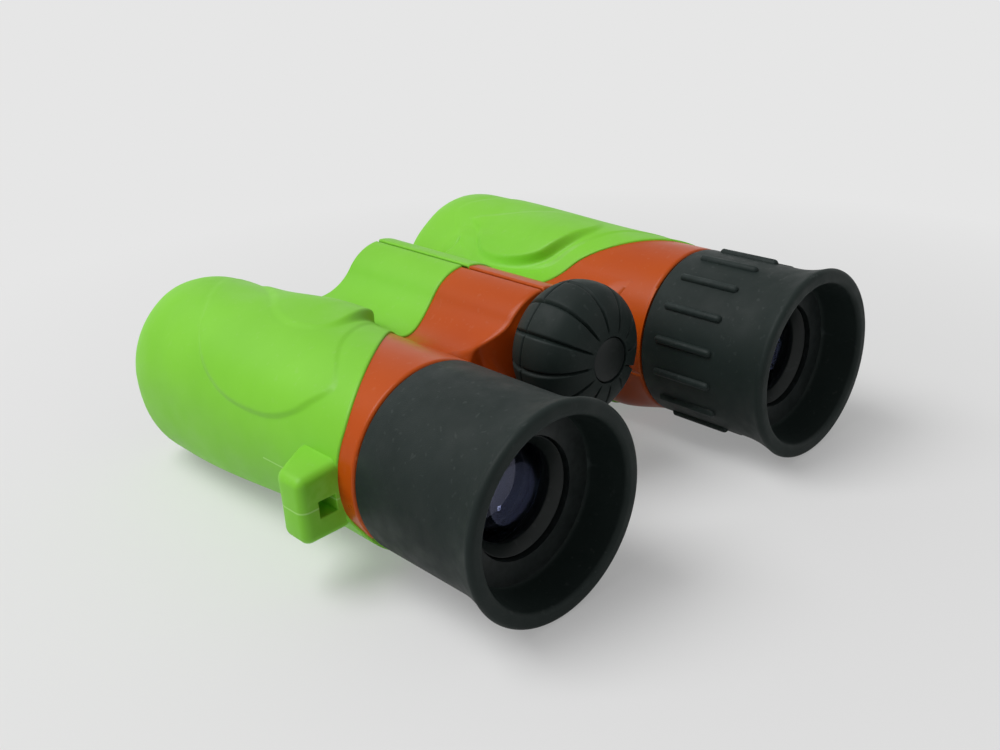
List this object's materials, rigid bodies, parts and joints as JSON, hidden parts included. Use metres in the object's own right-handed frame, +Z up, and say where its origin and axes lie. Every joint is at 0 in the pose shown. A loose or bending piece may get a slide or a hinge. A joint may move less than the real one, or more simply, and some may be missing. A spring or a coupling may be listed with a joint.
{
  "type": "compact binoculars",
  "caption": "Child's compact roof-prism binoculars: rubber-armoured barrels on a centre hinge, grooved focus knob, ribbed diopter eyecup and strap lugs.",
  "frame": {"origin": "middle of the bounding box in plan, at the level the barrels rest on", "axes": "+Y is the viewing direction, +Z is up, +X is the user's right, where the diopter is"},
  "size_m": [0.122, 0.1046, 0.0397],
  "materials": {
    "green_rubber": "satin",
    "orange_plastic": "gloss",
    "black_rubber": "matte",
    "black_plastic": "satin",
    "glass": "polished",
    "steel": "brushed",
    "brass": "turned"
  },
  "bodies": {
    "left_half": {"left_chassis": "orange_plastic", "left_cover": "orange_plastic", "left_armor": "green_rubber", "left_front_rim": "green_rubber", "left_objective_bezel": "black_plastic", "left_prism_cage": "black_plastic", "left_roof_prism": "glass", "left_half_prism": "glass", "left_eyecup": "black_rubber", "left_eyepiece_ring": "black_plastic", "left_ocular_tube": "black_plastic", "left_ocular_retainer": "black_plastic", "left_eye_lens": "glass", "left_field_lens": "glass", "left_field_stop": "black_plastic", "hinge_shaft": "steel", "hinge_washers": "steel", "hinge_cap": "black_plastic"},
    "right_half": {"right_chassis": "orange_plastic", "right_cover": "orange_plastic", "right_armor": "green_rubber", "right_front_rim": "green_rubber", "right_objective_bezel": "black_plastic", "right_prism_cage": "black_plastic", "right_roof_prism": "glass", "right_half_prism": "glass"},
    "focus_knob": {"knob_grip": "black_rubber", "knob_core": "black_plastic", "knob_disc": "black_plastic", "knob_screw": "steel", "focus_spindle": "steel"},
    "focus_slider": {"focus_spool": "brass"},
    "left_objective": {"left_objective_cell": "black_plastic", "left_objective_lens": "glass", "left_objective_retainer": "black_plastic"},
    "right_objective": {"right_objective_cell": "black_plastic", "right_objective_lens": "glass", "right_objective_retainer": "black_plastic"},
    "diopter": {"right_eyecup": "black_rubber", "diopter_ring": "black_plastic"},
    "right_ocular": {"right_ocular_tube": "black_plastic", "right_ocular_retainer": "black_plastic", "right_eye_lens": "glass", "right_field_lens": "glass", "right_field_stop": "black_plastic"}
  },
  "joints": [
    {"name": "hinge_fold", "type": "hinge", "parent": "left_half", "child": "right_half", "pos_m": [0, 0, 0.0269], "axis": [0, 1, 0], "range_deg": [0, 56]},
    {"name": "focus_turn", "type": "hinge", "parent": "left_half", "child": "focus_knob", "pos_m": [0, -0.024, 0.0269], "axis": [0, 1, 0], "range_deg": [-225, 225]},
    {"name": "focus_slide", "type": "slide", "parent": "left_half", "child": "focus_slider", "axis": [0, 1, 0], "range_m": [-0.0015, 0.0015]},
    {"name": "left_objective_slide", "type": "slide", "parent": "left_half", "child": "left_objective", "axis": [0, 1, 0], "range_m": [-0.0015, 0.0015]},
    {"name": "right_objective_slide", "type": "slide", "parent": "right_half", "child": "right_objective", "axis": [0, 1, 0], "range_m": [-0.0015, 0.0015]},
    {"name": "diopter_turn", "type": "hinge", "parent": "right_half", "child": "diopter", "pos_m": [0.036, -0.037, 0.0189], "axis": [0, 1, 0], "range_deg": [-45, 45]},
    {"name": "right_ocular_slide", "type": "slide", "parent": "right_half", "child": "right_ocular", "axis": [0, 1, 0], "range_m": [-0.0008, 0.0008]}
  ],
  "couplings": [
    {"joint": "focus_slide", "follows": "focus_turn", "m_per_rad": 0.00038},
    {"joint": "left_objective_slide", "follows": "focus_turn", "m_per_rad": 0.00038},
    {"joint": "right_objective_slide", "follows": "focus_turn", "m_per_rad": 0.00038},
    {"joint": "right_ocular_slide", "follows": "diopter_turn", "m_per_rad": 0.001}
  ]
}
